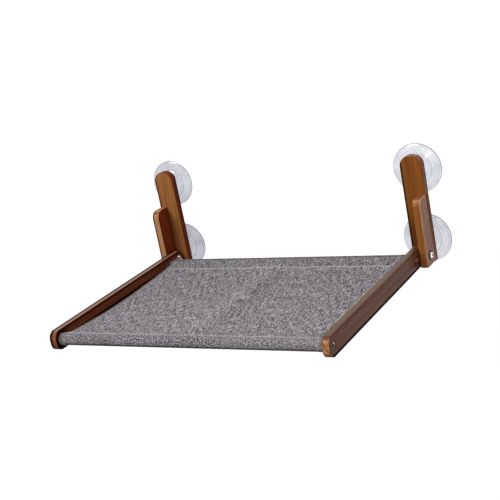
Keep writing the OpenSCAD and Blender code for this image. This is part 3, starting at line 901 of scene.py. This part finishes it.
colour = cloth.ramp(yarn_tone, (0.15, shade(22, 19, 22)), (0.4, shade(70, 66, 69)),
                    (0.55, shade(109, 104, 108)), (0.85, shade(200, 194, 199)))
# The panel turns darker over the rear band, where the return hem lies under it. The rest of this
# sum is painted shade: growing towards the window, beside the main crease's ridge and towards the
# left edge.
over_hem = cloth.ease(v, 0.333, 0.335, 0.0, 0.08)
window_side_shade = cloth.ease(v, 0.05, 0.37, 0.0, 0.12)
crease_shade = cloth.ease(cloth.maths("ABSOLUTE", u - CREASE_SHADE_U), 0.002, 0.018, 0.16, 0.0)
crease_light = cloth.ease(cloth.maths("ABSOLUTE", u - CREASE_LIGHT_U), 0.002, 0.022, 0.07, 0.0)
on_seat = cloth.ease(v, 0.055, 0.09) * cloth.ease(v, 0.24, 0.35, 1.0, 0.2)
darker = over_hem + window_side_shade + crease_shade * on_seat + cloth.ease(u, 0.0, 0.2, 0.07, 0.0)
# Painted shade in bands: under the front roll, on its lower front and just behind the rear roll's
# top.
PAINTED_SHADE_BANDS = [(0.0272, 0.006, 0.0076, 0.9), (0.038, 0.008, 0.014, 0.05), (0.056, 0.006, 0.03, 0.1),
              (REAR_TOP + 0.0026, 0.006, 0.0085, 0.4)]  # each: v, full within, gone at, share
for band, near, far, share in PAINTED_SHADE_BANDS:
    darker = darker + cloth.ease(cloth.maths("ABSOLUTE", v - band), near, far, share, 0.0)
colour = cloth.blend(darker, colour, (0.0, 0.0, 0.0))
# Painted light: on one side of the crease, on the right part of the front roll and along both
# seams.
painted_light = crease_light * on_seat + (1 - on_top) * cloth.ease(u, 0.2, 0.4, 0.0, 0.08)
for seam, reach, share in ((FRONT_SEAM + 0.2, 5.0, 0.14), (REAR_SEAM, 4.5, 0.2)):
    seam_v = (wrap_end + seam - front_y) * MM
    painted_light = painted_light + cloth.ease(cloth.maths("ABSOLUTE", v - seam_v), 0.0, reach * MM, share, 0.0)
colour = cloth.blend(painted_light, colour, shade(210, 208, 211))
warp_height, weft_height = cloth.maths("ABSOLUTE", warp), cloth.maths("ABSOLUTE", weft)
groove = warp_height * warp_on_top + weft_height * (1 - warp_on_top)
# Painted shade in the weave's grooves.
colour = cloth.blend(cloth.ease(groove, 0.0, 0.6, 0.35, 0.0), colour, shade(70, 68, 72))
# The side hems turn darker and pinker next to the arms.
colour = cloth.blend(left_hem + right_hem, colour, shade(84, 74, 72))
cloth.paint(Base_Color=colour, Roughness=cloth.ease(yarn_tone, 0.2, 0.8, 0.95, 0.8),
            Normal=cloth.bump(groove + slubs * 0.25, 0.00022, 0.7))
hand_in(sling, "seat", cloth.material, "sling_cloth", "sling")

# %% [markdown]
# ## Stitches
# Four rows of pale thread hold the strip: one behind each rail and one along each side hem. A
# stitch is a short thread that dives into the cloth at both ends. It is modelled once, then
# copied along each row.

# %% One stitch
thread = Finish("pale_thread", Roughness=0.7, Specular_IOR_Level=0.3)
twist = thread.noise(thread.place(scale=(1500, 1500, 1500)), 2)
thread.paint(Base_Color=thread.blend(thread.ease(twist, 0.35, 0.65), shade(176, 170, 172),
                                     shade(208, 202, 204)),
             Normal=thread.bump(twist, 0.00005, 0.5))
stitch = turned("stitch", [(0.12, -1.5), (0.25, -1.35), (0.36, -0.9), (0.4, 0), (0.36, 0.9),
                           (0.25, 1.35), (0.12, 1.5)], (0, 0, 0), (1, 0, 0), 6)
heights = np.empty(len(stitch.data.vertices) * 3)
stitch.data.vertices.foreach_get("co", heights)
heights = heights.reshape(-1, 3)
heights[:, 2] -= 0.35 * MM * (heights[:, 0] / (1.45 * MM)) ** 2
stitch.data.vertices.foreach_set("co", heights.ravel())


# %% Copy it along the four rows
THREAD_LIFT = 0.12


def sew(name, across, along, half_thick):
    """Stitches at flat places of the cloth, on its upper or outer face."""
    here = cloth_point(across, along, half_thick + THREAD_LIFT)
    out = cloth_point(across, along, half_thick + THREAD_LIFT + 1) - here
    run = np.gradient(here, axis=0)
    copies = []
    for spot, up, ahead in zip(here, out, run):
        ahead, up = Vector(ahead).normalized(), Vector(up).normalized()
        side_way = up.cross(ahead).normalized()
        turn = Matrix((ahead, side_way, ahead.cross(side_way))).transposed().to_4x4()
        one = stitch.copy()
        one.data = stitch.data.copy()
        one.data.transform(Matrix.Translation(Vector(spot)) @ turn)
        bpy.context.collection.objects.link(one)
        copies.append(one)
    only(*copies)
    bpy.ops.object.join()
    row_piece = copies[0]
    row_piece.name = name
    return hand_in(smooth(row_piece, 60), "seat", thread.material, "sling_cloth")


STITCH, FROM_HEM = 4.0, 1.2
half_layer, half_hem = 0.4, HEM_THICK / 2
spread = np.arange(-HALF_W + 3, HALF_W - 2, STITCH)
down = np.arange(2.0, length[-1] - 2, STITCH)
rows = [
    sew("front_seam_thread", spread, wrap_end + 2.3, half_layer),
    sew("rear_seam_thread", spread, wrap_end + (REAR_SEAM - front_y), half_layer),
    sew("left_hem_thread", -HALF_W + HEM - FROM_HEM, down, half_hem),
    sew("right_hem_thread", HALF_W - HEM + FROM_HEM, down, half_hem),
]
bpy.data.objects.remove(stitch)
